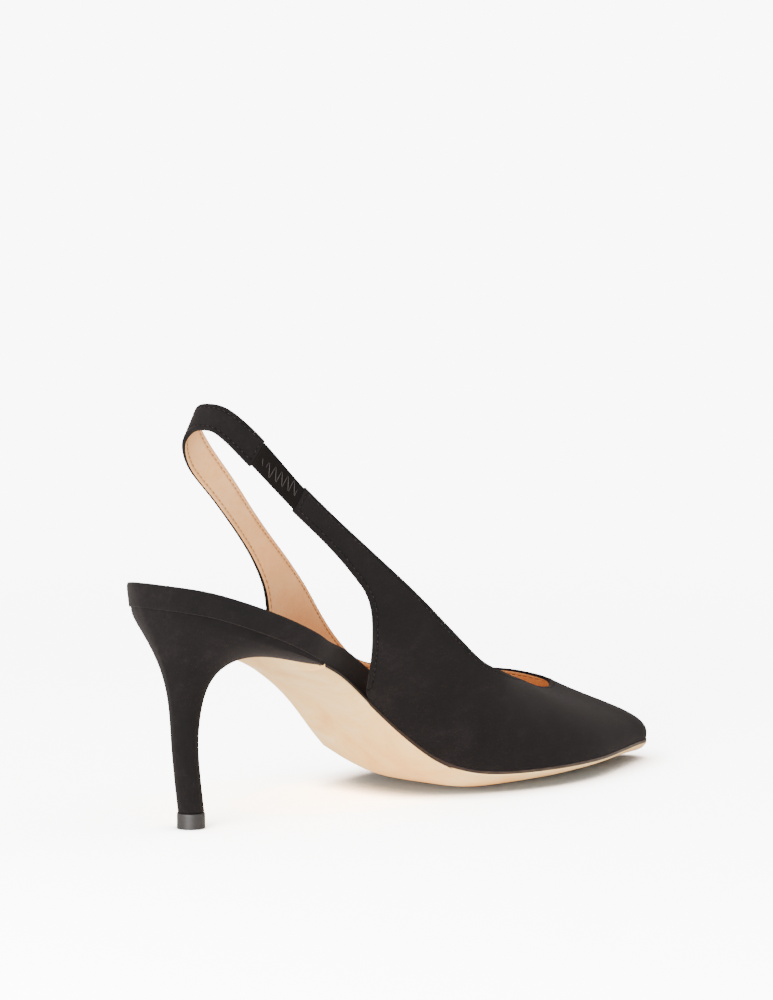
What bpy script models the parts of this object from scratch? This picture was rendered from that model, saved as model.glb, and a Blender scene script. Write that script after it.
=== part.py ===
"""Slingback pump for the left foot, in metres, +Z up, toe to +X, inner side of the foot to -Y."""
import bisect
import math
from collections import namedtuple

import bmesh
import bpy
import numpy as np
from mathutils import Vector

MM = 0.001

# Driving sizes
SOLE_LENGTH = 245 * MM        # along the floor, from the back of the seat to the toe
BALL_WIDTH = 74 * MM          # sole, across the ball
WAIST_WIDTH = 40 * MM         # sole, at its narrowest
SEAT_WIDTH = 49.5 * MM        # sole, across the heel seat
TOE_WIDTH = 28 * MM           # sole, just behind the rounded toe
TOE_SWING = 12.5 * MM         # lean of the toe's tip to the inner side
SEAT_HEIGHT = 76 * MM         # floor to the joint under the seat rim, at the very back
TREAD_HEIGHT = 7.4 * MM       # floor to the joint of upper and sole, at the ball
TOE_SPRING = 3.0 * MM         # floor to the sole's underside at the toe
STRAP_HEIGHT = 141.5 * MM     # floor to the strap's upper edge behind the heel
INSTEP_HEIGHT = 57 * MM       # floor to the topline above the quarter's lower corner
VAMP_HEIGHT = 32 * MM         # floor to the topline at the front of the throat
THROAT_TILT = 3.4 * MM        # outer side of the throat above its inner side
STRAP_WIDTH = 10.5 * MM
STRAP_SPREAD = 31 * MM        # across the strap's loop, over the heel
QUARTER_SPREAD = 61 * MM      # across the topline, over the instep
THROAT_SPREAD = 37 * MM       # across the topline, over the ball
UPPER_WALL = 1.6 * MM
ELASTIC_WALL = 1.2 * MM
ELASTIC_LENGTH = 23 * MM      # free length of the elastic between strap and quarter
ELASTIC_SHARE = 0.84          # elastic's width as a share of the strap's
SOLE_EDGE = 1.4 * MM          # upright part of the sole's edge
TREAD_HALF = 12 * MM          # half width of the flat on which the sole stands
TREAD_FLAT = 0.40             # level part of the underside elsewhere, as a share of the sole's half width
SOLE_TIP = 0.25 * MM          # least half width of the sole, and its last row's distance from the toe's tip
RIM_HEIGHT = 8.0 * MM
RIM_WALL = 2.4 * MM
RIM_FLARE = 0.8 * MM          # outward lean of the rim's top
INSOLE_THICKNESS = 3.0 * MM   # at the ball
HEEL_TIP_BACK = 22.5 * MM     # back of the seat to the middle of the heel's tip
STEM_WIDTH = 8.9 * MM
STEM_LEAN = 3.2 * MM          # how far the stem stands back from the tip, below the flare
TOP_PIECE_HEIGHT = 5.2 * MM
TOP_PIECE_LEDGE = 0.35 * MM   # how far the top piece stands out round the stem
WING_LENGTH = 66 * MM         # back of the seat to the front ends of the heel's wings
BREAST_DEPTH = 42 * MM        # back of the seat to the middle of the heel's breast
WING_WALL = 1.2 * MM          # at the wings' front ends
RIM_LENGTH = 101 * MM         # back of the seat to the rim's front ends, inside the quarters
FIT_GAP = 0.3 * MM
INSOLE_GAP = 0.7 * MM         # between the rim and the insole inside it
INSOLE_EASE = 7.4 * MM        # length over which the insole widens ahead of the rim
QUARTER_GAP = 2.2 * MM        # between the rim's front ends and the quarters round them

# Outline of the sole: stations are shares of the length, half widths shares of half the named width
Outline = namedtuple("Outline", "station inner outer width")
SOLE_OUTLINE = (
    Outline(0.000, 0.00, 0.00, SEAT_WIDTH),
    Outline(0.020, 0.44, 0.44, SEAT_WIDTH),
    Outline(0.050, 0.70, 0.70, SEAT_WIDTH),
    Outline(0.100, 0.92, 0.92, SEAT_WIDTH),
    Outline(0.160, 1.00, 1.00, SEAT_WIDTH),
    Outline(0.230, 0.96, 1.03, SEAT_WIDTH),
    Outline(0.310, 0.90, 1.30, WAIST_WIDTH),
    Outline(0.400, 0.68, 1.39, WAIST_WIDTH),
    Outline(0.500, 0.55, 0.90, BALL_WIDTH),
    Outline(0.580, 0.79, 0.96, BALL_WIDTH),
    Outline(0.650, 0.95, 0.99, BALL_WIDTH),
    Outline(0.720, 0.99, 0.99, BALL_WIDTH),
    Outline(0.800, 0.89, 0.86, BALL_WIDTH),
    Outline(0.880, 0.63, 0.61, BALL_WIDTH),
    Outline(0.945, 1.00, 1.00, TOE_WIDTH),
    Outline(0.982, 0.60, 0.60, TOE_WIDTH),
    Outline(1.000, 0.00, 0.00, TOE_WIDTH),
)
SWING_START = 0.68            # station where the toe begins to lean
TREAD_REAR = 0.61             # stations between which the sole lies on the floor
TREAD_FRONT = 0.73
BREAST_CURVE = 2.2            # roundness of the heel's breast in plan
STEM_FLAT = 0.78              # stem's flat front, as a share of its radius
HEEL_INSET = 0.5 * MM         # heel's outline inside the rim's, at the groove
BREAST_GAP = 0.6 * MM         # between the heel's breast and the sole's rear end
SHOULDER_STEP = 0.1 * MM      # length over which the sole widens before the wings' ends
ELASTIC_ROW = 2.88            # topline row where the strap ends at the elastic
COLUMN_STEP = 4.5 * MM        # spacing of the upper's columns
ROW_STEP = 0.01               # step of the walk along the topline, in rows
UPPER_FACES = 8               # faces from the upper's lower edge to its topline
ELASTIC_FACES = 4             # faces across the elastic
INSOLE_FACES = 4              # faces across the insole
SLOPE_FACES = 4               # faces from the level part of the underside to the sole's edge
WAIST_STEPS = 12              # rows of the sole behind its tread
TREAD_STEPS = 4               # and along it
TOE_STEPS = 18                # and before it
INSOLE_STEPS = 42
RIM_STEPS = 32                # along each side of the rim
SEAT_STEPS = 9                # heel's outline from its back to the breast
WING_STEPS = 7                # and along each wing
RING_STEPS = 24               # round the top piece
EDGE_STEPS = 360              # even steps along one side of the sole's edge
FINE_STEPS = 1200             # steps along the curve from which the even ones are taken
MERGE_DISTANCE = MM / 100     # points closer than this become one
SHARP_ANGLE = math.radians(35)

# Side profile: rise of the upper's joint from ball to seat, belly of the underside, share of the toe spring
Profile = namedtuple("Profile", "station rise belly spring")
SOLE_PROFILE = (
    Profile(0.00, 1.000, 0.30, 0.00),
    Profile(0.05, 0.961, 0.30, 0.00),
    Profile(0.11, 0.889, 0.30, 0.00),
    Profile(0.18, 0.796, 0.30, 0.00),
    Profile(0.25, 0.692, 0.32, 0.00),
    Profile(0.31, 0.598, 0.36, 0.00),
    Profile(0.36, 0.495, 0.40, 0.00),
    Profile(0.41, 0.360, 0.48, 0.00),
    Profile(0.46, 0.205, 0.60, 0.00),
    Profile(0.51, 0.075, 0.78, 0.00),
    Profile(0.56, 0.014, 0.94, 0.00),
    Profile(TREAD_REAR, 0.000, 1.00, 0.00),
    Profile(TREAD_FRONT, 0.000, 1.00, 0.00),
    Profile(TREAD_FRONT + 0.005, 0.000, 1.00, 0.02),
    Profile(0.84, 0.000, 1.00, 0.38),
    Profile(1.00, 0.000, 1.00, 1.00),
)

# Topline from the middle of the strap's loop forward to the front of the throat, as shares of the
# sole's length, of half the named width on each side, and of the named height. The outer side has a
# share of the throat's tilt on top. The strap's rows give its depth as a share of its width, and its lean.
Collar = namedtuple("Collar", "station inner outer width height of tilt deep lean")
COLLAR = (
    Collar(0.130, 0.00, 0.00, STRAP_SPREAD, 1.000, STRAP_HEIGHT, 0.00, 0.90, 22),
    Collar(0.134, 0.44, 0.44, STRAP_SPREAD, 0.993, STRAP_HEIGHT, 0.00, 0.91, 21),
    Collar(0.150, 0.77, 0.77, STRAP_SPREAD, 0.960, STRAP_HEIGHT, 0.00, 0.97, 18),
    Collar(0.183, 0.96, 0.96, STRAP_SPREAD, 0.903, STRAP_HEIGHT, 0.00, 1.10, 16),
    Collar(0.243, 1.09, 1.09, STRAP_SPREAD, 0.802, STRAP_HEIGHT, 0.00, 1.02, 17),
    Collar(0.300, 0.67, 0.67, QUARTER_SPREAD, 0.711, STRAP_HEIGHT, 0.00, 0.98, 16),
    Collar(0.341, 0.75, 0.75, QUARTER_SPREAD, 0.650, STRAP_HEIGHT, 0.00, 1.10, 12),
    Collar(0.386, 0.82, 0.82, QUARTER_SPREAD, 1.453, INSTEP_HEIGHT, -0.15, 0.0, 0),
    Collar(0.431, 0.89, 0.89, QUARTER_SPREAD, 1.290, INSTEP_HEIGHT, -0.50, 0.0, 0),
    Collar(0.471, 0.96, 0.96, QUARTER_SPREAD, 1.128, INSTEP_HEIGHT, -0.88, 0.0, 0),
    Collar(0.508, 1.00, 1.00, QUARTER_SPREAD, 0.986, INSTEP_HEIGHT, -1.16, 0.0, 0),
    Collar(0.553, 1.00, 1.00, QUARTER_SPREAD, 0.840, INSTEP_HEIGHT, -1.27, 0.0, 0),
    Collar(0.618, 0.89, 0.92, QUARTER_SPREAD, 0.737, INSTEP_HEIGHT, -0.70, 0.0, 0),
    Collar(0.700, 0.86, 1.16, THROAT_SPREAD, 1.155, VAMP_HEIGHT, 0.40, 0.0, 0),
    Collar(0.773, 0.50, 0.98, THROAT_SPREAD, 0.990, VAMP_HEIGHT, 1.38, 0.0, 0),
    Collar(0.822, 0.15, 0.72, THROAT_SPREAD, 0.950, VAMP_HEIGHT, 1.26, 0.0, 0),
    Collar(0.849, -0.28, 0.28, THROAT_SPREAD, 1.000, VAMP_HEIGHT, 0.00, 0.0, 0),
)

# Quarter's back edge below the strap: place along the sole on each side, further back on the outer side,
# width between sole edge and strap, height share
BackEdge = namedtuple("BackEdge", "inner outer out height")
BACK_EDGE = (
    BackEdge(0.345, 0.331, 1.06, 0.77),
    BackEdge(0.356, 0.340, 0.96, 0.48),
    BackEdge(0.366, 0.352, 0.60, 0.24),
)

# Lower edge on the sole: station of each topline row's foot, from the quarter's corner to the toe
FOOT_STATIONS = (0.381, 0.455, 0.565, 0.690, 0.828, 0.930, 1.000)

# Curve of the wall across each topline row: angles from the chord and lengths of the two handles
Wall = namedtuple("Wall", "leave arrive low high")
WALLS = (
    Wall(5, 5, 0.33, 0.33),
    Wall(5, 5, 0.33, 0.33),
    Wall(5, 5, 0.33, 0.33),
    Wall(5, 5, 0.33, 0.33),
    Wall(5, 5, 0.33, 0.33),
    Wall(5, 5, 0.33, 0.33),
    Wall(6, 5, 0.33, 0.33),
    Wall(8, 6, 0.33, 0.33),
    Wall(12, 8, 0.33, 0.33),
    Wall(16, 10, 0.33, 0.33),
    Wall(22, 13, 0.33, 0.33),
    Wall(30, 16, 0.33, 0.34),
    Wall(40, 20, 0.33, 0.36),
    Wall(50, 22, 0.33, 0.38),
    Wall(60, 18, 0.32, 0.42),
    Wall(72, 10, 0.26, 0.46),
    Wall(84, 4, 0.20, 0.50),
)

# Heel, from the tip up: share of the way out to the seat's outline, heights behind and at the wings' ends
# as shares of the way from the tip to the joint there, and share of the stem's lean
Flare = namedtuple("Flare", "out back front lean")
HEEL_FLARE = (
    Flare(0.000, 0.000, 0.000, 0.00),
    Flare(0.000, 0.140, 0.208, 0.47),
    Flare(0.000, 0.290, 0.432, 0.88),
    Flare(0.012, 0.395, 0.595, 1.00),
    Flare(0.045, 0.480, 0.796, 1.00),
    Flare(0.110, 0.565, 0.940, 1.00),
    Flare(0.210, 0.645, 1.024, 1.00),
    Flare(0.340, 0.720, 1.074, 1.00),
    Flare(0.500, 0.790, 1.077, 1.00),
    Flare(0.660, 0.855, 1.051, 1.00),
    Flare(0.820, 0.914, 1.013, 1.00),
    Flare(0.940, 0.962, 0.991, 1.00),
    Flare(0.990, 0.988, 0.984, 1.00),
)

# Rim of the seat: its height, kept square to the seat so that it stands taller where the seat slopes, and
# how far it is tucked in, 0 over the heel where it is flush with the sole's edge and 1 inside the quarters
Mark = namedtuple("Mark", "station share")
RIM_RISE = (
    Mark(0.00, 1.00),
    Mark(0.20, 1.03),
    Mark(0.28, 1.10),
    Mark(0.32, 1.25),
    Mark(0.35, 1.48),
    Mark(0.38, 1.64),
    Mark(0.42, 1.76),
)
RIM_TUCK = (Mark(0.000, 0.0), Mark(0.235, 0.0), Mark(0.355, 1.0), Mark(0.500, 1.0))

# Insole's thickness, padded over the seat and thickest where the arch begins
INSOLE_PAD = (
    Mark(0.00, 1.87),
    Mark(0.20, 1.93),
    Mark(0.28, 2.05),
    Mark(0.32, 2.40),
    Mark(0.36, 2.36),
    Mark(0.40, 1.82),
    Mark(0.45, 1.23),
    Mark(0.50, 1.00),
)

Finish = namedtuple("Finish", "colour roughness")
SUEDE = Finish((0.0168, 0.0144, 0.0137), 0.95)
LEATHER = Finish((0.53, 0.32, 0.17), 0.45)
SOLE_LEATHER = Finish((0.80, 0.66, 0.47), 0.50)
RUBBER = Finish((0.11, 0.10, 0.09), 0.60)
WOVEN = Finish((0.022, 0.019, 0.018), 0.90)


def steady(xs, ys, x):
    """Interpolates a table without overshoot, so that level stretches stay level."""
    x = min(max(x, xs[0]), xs[-1])
    i = min(max(bisect.bisect_right(xs, x) - 1, 0), len(xs) - 2)
    spans = [b - a for a, b in zip(xs, xs[1:])]
    steps = [(b - a) / span for a, b, span in zip(ys, ys[1:], spans)]

    def slope(k):
        if k == 0 or k == len(xs) - 1:
            return steps[min(k, len(steps) - 1)]
        a, b = steps[k - 1], steps[k]
        return 0.0 if a * b <= 0 else 2 * a * b / (a + b)

    span = spans[i]
    t = (x - xs[i]) / span
    return (
        ys[i] * (2 * t**3 - 3 * t**2 + 1)
        + slope(i) * span * (t**3 - 2 * t**2 + t)
        + ys[i + 1] * (3 * t**2 - 2 * t**3)
        + slope(i + 1) * span * (t**3 - t**2)
    )


class Path:
    """Smooth curve through points, read at a place counted in points."""

    def __init__(self, points):
        self.points = [Vector(point) for point in points]
        chords = [(b - a).length for a, b in zip(self.points, self.points[1:])]
        self.spans = [math.sqrt(max(chord, 1e-9)) for chord in chords]
        self.slopes = [self.slope(k) for k in range(len(self.points))]

    def slope(self, k):
        steps = []
        for i in (k - 1, k):
            if 0 <= i < len(self.spans):
                steps.append(((self.points[i + 1] - self.points[i]) / self.spans[i], self.spans[i]))
        if len(steps) == 1:
            return steps[0][0]
        (before, short), (after, long) = steps
        return (before * long + after * short) / (short + long)

    def at(self, place):
        i = min(max(int(place), 0), len(self.spans) - 1)
        t = place - i
        span = self.spans[i]
        return (
            self.points[i] * (2 * t**3 - 3 * t**2 + 1)
            + self.slopes[i] * span * (t**3 - 2 * t**2 + t)
            + self.points[i + 1] * (3 * t**2 - 2 * t**3)
            + self.slopes[i + 1] * span * (t**3 - t**2)
        )


# The sole in plan and in profile

def read(table, column, x):
    """Value of one column of a table of stations, at x along the sole."""
    stations = [row.station for row in table]
    return steady(stations, [getattr(row, column) for row in table], x / SOLE_LENGTH)


def joint_height(x):
    """Height of the face on which the upper, the rim and the insole lie."""
    return TREAD_HEIGHT + (SEAT_HEIGHT - TREAD_HEIGHT) * read(SOLE_PROFILE, "rise", x)


def underside(x):
    """Height of the sole's underside along its middle."""
    belly = (TREAD_HEIGHT - SOLE_EDGE) * read(SOLE_PROFILE, "belly", x)
    return joint_height(x) - SOLE_EDGE - belly + TOE_SPRING * read(SOLE_PROFILE, "spring", x)


def swing(x, start):
    """Y of a line that leaves the middle at a station and leans to the inner side up to the toe's tip."""
    return -TOE_SWING * max(0.0, (x / SOLE_LENGTH - start) / (1 - start)) ** 2


def centre_line(x):
    return swing(x, SWING_START)


def edge_side(inner):
    """Fine even points of the sole's edge on one side, from the back of the seat to the toe."""
    sign = -1 if inner else 1
    points = []
    for row in SOLE_OUTLINE:
        x = row.station * SOLE_LENGTH
        half = (row.inner if inner else row.outer) * row.width / 2
        points.append((x, centre_line(x) + sign * half, 0.0))
    ghosts = [Vector((points[i][0], 2 * centre_line(points[i][0]) - points[i][1], 0.0)) for i in (1, -2)]
    path = Path([ghosts[0]] + points + [ghosts[1]])
    rough = [path.at(1 + k * (len(points) - 1) / FINE_STEPS) for k in range(FINE_STEPS + 1)]
    run = [0.0]
    for a, b in zip(rough, rough[1:]):
        run.append(run[-1] + (b - a).length)
    even = np.linspace(0, run[-1], EDGE_STEPS + 1)
    return np.stack([np.interp(even, run, [p[axis] for p in rough]) for axis in (0, 1)], axis=1)


EDGES = {True: edge_side(True), False: edge_side(False)}


def outward(inner):
    """Outward directions in plan at the points of one side's edge."""
    along = np.gradient(EDGES[inner], axis=0)
    along[0] = (0.0, 1.0)
    along[-1] = (0.0, 1.0)
    if inner:
        along[0] = (0.0, -1.0)
        turned = np.stack([along[:, 1], -along[:, 0]], axis=1)
    else:
        along[-1] = (0.0, -1.0)
        turned = np.stack([-along[:, 1], along[:, 0]], axis=1)
    return turned / np.linalg.norm(turned, axis=1)[:, None]


OUTWARD = {True: outward(True), False: outward(False)}


def edge_y(x, inner, inset=0.0):
    """Y of the sole's edge at x on one side, moved inward by inset."""
    points = EDGES[inner] - OUTWARD[inner] * inset
    rising = np.maximum.accumulate(points[:, 0])
    return float(np.interp(x, rising, points[:, 1]))


def edge_place(x, inner):
    """Place of x along the even points of one side's edge."""
    return float(np.interp(x, EDGES[inner][:, 0], np.arange(EDGE_STEPS + 1)))


def edge_point(place, inner):
    low = min(int(place), EDGE_STEPS - 1)
    spot = EDGES[inner][low] + (EDGES[inner][low + 1] - EDGES[inner][low]) * (place - low)
    out = OUTWARD[inner][low] + (OUTWARD[inner][low + 1] - OUTWARD[inner][low]) * (place - low)
    return Vector((*spot, 0.0)), Vector((*out, 0.0)).normalized()


# Making objects

def new_object(name, verts, faces, finish):
    mesh = bpy.data.meshes.new(name)
    mesh.from_pydata([tuple(v) for v in verts], [], faces)
    build = bmesh.new()
    build.from_mesh(mesh)
    bmesh.ops.remove_doubles(build, verts=build.verts, dist=MERGE_DISTANCE)
    bmesh.ops.recalc_face_normals(build, faces=build.faces)
    build.to_mesh(mesh)
    build.free()
    mesh.shade_smooth()
    mesh.set_sharp_from_angle(angle=SHARP_ANGLE)
    material = bpy.data.materials.new(name)
    material.use_nodes = True
    shader = material.node_tree.nodes["Principled BSDF"]
    shader.inputs["Base Color"].default_value = (*finish.colour, 1.0)
    shader.inputs["Roughness"].default_value = finish.roughness
    shader.inputs["Metallic"].default_value = 0.0
    mesh.materials.append(material)
    made = bpy.data.objects.new(name, mesh)
    bpy.context.scene.collection.objects.link(made)
    return made


def tube_faces(count, rings):
    """Quads round a row of closed rings, both ends left open."""
    faces = []
    for r in range(rings - 1):
        for i in range(count):
            j = (i + 1) % count
            faces.append((r * count + i, r * count + j, (r + 1) * count + j, (r + 1) * count + i))
    return faces


def slab(name, stations, lanes, top, bottom, finish):
    """Closed plate with a row of points across at each station, between a top and an underside."""
    verts = []
    across = len(lanes(stations[0])) - 1
    for x in stations:
        verts += [(x, y, top(x)) for y in lanes(x)]
        verts += [(x, y, bottom(x, y)) for y in reversed(lanes(x))]
    count = 2 * (across + 1)
    faces = tube_faces(count, len(stations))
    for start in (0, (len(stations) - 1) * count):
        for i in range(across):
            faces.append((start + i, start + i + 1, start + count - 2 - i, start + count - 1 - i))
    return new_object(name, verts, faces, finish)


def crowded(start, end, count, at_start, at_end):
    """Stations from start to end, even or crowding towards the rounded ends."""
    places = []
    for i in range(count + 1):
        t = i / count
        if at_start and at_end:
            t = (1 - math.cos(math.pi * t)) / 2
        elif at_end:
            t = math.sin(math.pi * t / 2)
        places.append(start + (end - start) * t)
    return places


# Sole, insole and seat rim

def breast_half(x, inner):
    """Half width at x of the space between the heel's wings."""
    full = abs(edge_y(WING_LENGTH, inner)) - WING_WALL
    reach = max(0.0, (x - BREAST_DEPTH) / (WING_LENGTH - BREAST_DEPTH))
    return full * min(reach, 1.0) ** (1 / BREAST_CURVE)


def heel_stations():
    """Stations over the seat, crowded towards its round back, and along the wings."""
    seat = [BREAST_DEPTH * (1 - math.cos(math.pi / 2 * k / SEAT_STEPS)) for k in range(1, SEAT_STEPS)]
    wings = crowded(BREAST_DEPTH, WING_LENGTH, WING_STEPS, False, False)
    return seat, wings


def build_outsole():
    shoulder = WING_LENGTH + FIT_GAP
    rear = [min(x + BREAST_GAP, shoulder) for x in heel_stations()[1]]
    joins = [shoulder + SHOULDER_STEP, TREAD_REAR * SOLE_LENGTH, TREAD_FRONT * SOLE_LENGTH]
    joins.append(SOLE_LENGTH - SOLE_TIP)
    front = crowded(joins[0], joins[1], WAIST_STEPS, False, False)[:-1]
    front += crowded(joins[1], joins[2], TREAD_STEPS, False, False)[:-1]
    front += crowded(joins[2], joins[3], TOE_STEPS, False, True)

    def sides(x):
        if x < front[0]:
            halves = [breast_half(x - BREAST_GAP, inner) - BREAST_GAP for inner in (True, False)]
            return -max(halves[0], SOLE_TIP), max(halves[1], SOLE_TIP)
        return edge_y(x, True), edge_y(x, False)

    def borders(x):
        """Y of the level part's borders on both sides."""
        middle = swing(x, TREAD_FRONT)
        low, high = sides(x)
        inner = middle - min(TREAD_HALF, TREAD_FLAT * (middle - low))
        outer = middle + min(TREAD_HALF, TREAD_FLAT * (high - middle))
        return inner, outer

    def lanes(x):
        low, high = sides(x)
        inner, outer = borders(x)
        shares = [k / SLOPE_FACES for k in range(SLOPE_FACES + 1)]
        rising = [low + (inner - low) * share for share in shares]
        return rising + [outer + (high - outer) * share for share in shares]

    def bottom(x, y):
        side = 0 if y < swing(x, TREAD_FRONT) else 1
        border, end = borders(x)[side], sides(x)[side]
        edge = joint_height(x) - SOLE_EDGE
        return edge + (underside(x) - edge) * (1 - ((y - border) / (end - border)) ** 2)

    return slab("outsole", rear + front, lanes, joint_height, bottom, SOLE_LEATHER)


def rim_height(x):
    return RIM_HEIGHT * read(RIM_RISE, "share", x)


def rim_inset(x):
    """Distance of the rim's foot from the sole's edge."""
    return read(RIM_TUCK, "share", x) * (UPPER_WALL + QUARTER_GAP)


def build_insole():
    def inset(x):
        beside_rim = rim_inset(x) + RIM_WALL + INSOLE_GAP
        beside_wall = UPPER_WALL + FIT_GAP
        past = (x - RIM_LENGTH - RIM_WALL - UPPER_WALL) / INSOLE_EASE
        return beside_rim + (beside_wall - beside_rim) * steady([0.0, 1.0], [0.0, 1.0], past)

    def lanes(x):
        low, high = edge_y(x, True, inset(x)), edge_y(x, False, inset(x))
        return [low + (high - low) * k / INSOLE_FACES for k in range(INSOLE_FACES + 1)]

    def top(x):
        return joint_height(x) + FIT_GAP + INSOLE_THICKNESS * read(INSOLE_PAD, "share", x)

    def bottom(x, y):
        return joint_height(x) + FIT_GAP

    start = RIM_WALL + FIT_GAP
    end = SOLE_LENGTH - UPPER_WALL - FIT_GAP
    stations = crowded(start, end, INSOLE_STEPS, True, True)[1:-1]
    return slab("insole", stations, lanes, top, bottom, LEATHER)


# Section of the rim: places outward from its outer foot, in flares, inward from it, in walls, and heights
RimSection = namedtuple("RimSection", "flare wall height")
RIM_SECTION = (
    RimSection(0.0, 0.0, 0.00),
    RimSection(0.5, 0.0, 0.45),
    RimSection(1.0, 0.0, 0.84),
    RimSection(0.7, 0.1, 0.96),
    RimSection(0.0, 0.4, 1.00),
    RimSection(0.0, 0.9, 0.96),
    RimSection(0.0, 1.0, 0.84),
    RimSection(0.0, 1.0, 0.00),
)


def build_seat_rim():
    spots = []
    for inner in (True, False):
        last = edge_place(RIM_LENGTH, inner)
        side = [edge_point(last * k / RIM_STEPS, inner) for k in range(RIM_STEPS + 1)]
        spots += side[::-1] if inner else side[1:]
    verts = []
    for spot, out in spots:
        flare = RIM_FLARE * (1 - read(RIM_TUCK, "share", spot.x))
        for row in RIM_SECTION:
            reach = flare * row.flare - RIM_WALL * row.wall - rim_inset(spot.x)
            place = spot + out * reach
            foot = joint_height(place.x) + FIT_GAP
            verts.append((place.x, place.y, foot + rim_height(spot.x) * row.height))
    count = len(RIM_SECTION)
    faces = tube_faces(count, len(spots))
    faces.append(tuple(range(count)))
    faces.append(tuple(range(len(verts) - count, len(verts))))
    return new_object("seat_rim", verts, faces, SUEDE)


# Upper, strap and elastic

def collar_point(row, sign):
    x = row.station * SOLE_LENGTH
    if sign < 0:
        return Vector((x, centre_line(x) - row.inner * row.width / 2, row.height * row.of))
    return Vector((x, centre_line(x) + row.outer * row.width / 2, row.height * row.of + row.tilt * THROAT_TILT))


def strap_feet(tops, sign):
    """Lower edge of the strap: square to its upper edge, leaning outward going down."""
    feet = []
    behind = Vector((tops[1].x, -tops[1].y, tops[1].z))
    for k, row in enumerate(COLLAR):
        if not row.deep:
            return feet
        along = (tops[k + 1] - (tops[k - 1] if k else behind)).normalized()
        up = (Vector((0, 0, 1)) - along * along.z).normalized()
        out = up.cross(along) * sign
        lean = math.radians(row.lean)
        feet.append(tops[k] - (up * math.cos(lean) - out * math.sin(lean)) * STRAP_WIDTH * row.deep)


class Half:
    """One side of the upper: its topline and its lower edge, read by row from the strap's middle to the toe."""

    def __init__(self, sign):
        self.sign = sign
        self.inner = sign < 0
        tops = [collar_point(row, sign) for row in COLLAR]
        feet = strap_feet(tops, sign)
        self.corner = len(feet) + len(BACK_EDGE)
        self.places = [edge_place(share * SOLE_LENGTH, self.inner) for share in FOOT_STATIONS]
        corner = self.on_sole(self.corner)
        above = feet[-1]
        for row in BACK_EDGE:
            y = corner.y + (above.y - corner.y) * row.out
            z = corner.z + (above.z - corner.z) * row.height
            station = row.inner if self.inner else row.outer
            feet.append(Vector((station * SOLE_LENGTH, y, z)))
        opposite = [collar_point(row, -sign) for row in COLLAR]
        self.top_path = Path([opposite[1]] + tops + [opposite[-2]])
        self.foot_path = Path([Vector((feet[1].x, -feet[1].y, feet[1].z))] + feet + [corner])
        self.rows = list(range(len(COLLAR)))

    def on_sole(self, row):
        rows = [self.corner + k for k in range(len(self.places))]
        spot, out = edge_point(steady(rows, self.places, row), self.inner)
        return Vector((spot.x, spot.y, joint_height(spot.x) + FIT_GAP))

    def top(self, row):
        return self.top_path.at(row + 1)

    def foot(self, row):
        return self.on_sole(row) if row >= self.corner else self.foot_path.at(row + 1)

    def wall(self, row):
        return [steady(self.rows, [getattr(wall, field) for wall in WALLS], row) for field in Wall._fields]

    def columns(self, start, end):
        """Columns from one row to another, each with its foot, top and wall values."""
        marks = [start] + [row for row in self.rows if start < row < end] + [end]
        made = []
        for a, b in zip(marks, marks[1:]):
            middle = (a + b) / 2
            reach = max(
                (self.top(middle) - self.top(a)).length + (self.top(b) - self.top(middle)).length,
                (self.foot(middle) - self.foot(a)).length + (self.foot(b) - self.foot(middle)).length,
            )
            steps = max(1, round(reach / COLUMN_STEP))
            for k in range(steps):
                row = a + (b - a) * k / steps
                made.append((self.foot(row), self.top(row), self.wall(row)))
        made.append((self.foot(end), self.top(end), self.wall(end)))
        return made

    def row_past(self, start, length):
        """Row that lies a length further along the topline."""
        row = start
        here = self.top(row)
        while length > 0:
            row += ROW_STEP
            ahead = self.top(row)
            length -= (ahead - here).length
            here = ahead
        return row


def wall_points(columns, across):
    """Points of every column, from foot to topline, bulging outward as its wall values say."""
    middles = [(foot + top) / 2 for foot, top, wall in columns]
    made = []
    for k, (foot, top, wall) in enumerate(columns):
        along = middles[min(k + 1, len(columns) - 1)] - middles[max(k - 1, 0)]
        chord = top - foot
        length = chord.length
        chord.normalize()
        out = along.cross(chord).normalized()
        leave, arrive, low, high = wall
        leave, arrive = math.radians(leave), math.radians(arrive)
        first = foot + (chord * math.cos(leave) + out * math.sin(leave)) * length * low
        second = top - (chord * math.cos(arrive) - out * math.sin(arrive)) * length * high
        for t in across:
            low_part = foot * (1 - t)**3 + first * 3 * t * (1 - t)**2
            high_part = second * 3 * t**2 * (1 - t) + top * t**3
            made.append(low_part + high_part)
    return made


def ribbon(name, columns, across, thickness, finish):
    """Sheet across the columns, thickened inward into one closed wall."""
    verts = wall_points(columns, across)
    count = len(across)
    faces = []
    for c in range(len(columns) - 1):
        for i in range(count - 1):
            a = c * count + i
            faces.append((a, a + count, a + count + 1, a + 1))
    sheet = new_object(name, verts, faces, finish)
    wall = sheet.modifiers.new("wall", "SOLIDIFY")
    wall.thickness = thickness
    wall.offset = -1
    wall.use_even_offset = True
    wall.use_rim = True
    return sheet


def build_upper(inner, outer):
    front = inner.row_past(ELASTIC_ROW, ELASTIC_LENGTH)
    last = len(COLLAR) - 1
    columns = inner.columns(front, last)
    columns += outer.columns(0, last)[-2::-1]
    columns += inner.columns(0, ELASTIC_ROW)[1:]
    across = [i / UPPER_FACES for i in range(UPPER_FACES + 1)]
    return ribbon("upper", columns, across, UPPER_WALL, SUEDE)


def build_elastic(inner):
    rear = inner.row_past(ELASTIC_ROW, FIT_GAP)
    front = inner.row_past(ELASTIC_ROW, ELASTIC_LENGTH - FIT_GAP)
    margin = (1 - ELASTIC_SHARE) / 2
    across = [margin + ELASTIC_SHARE * i / ELASTIC_FACES for i in range(ELASTIC_FACES + 1)]
    return ribbon("elastic", inner.columns(rear, front), across, ELASTIC_WALL, WOVEN)


# Heel

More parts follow.
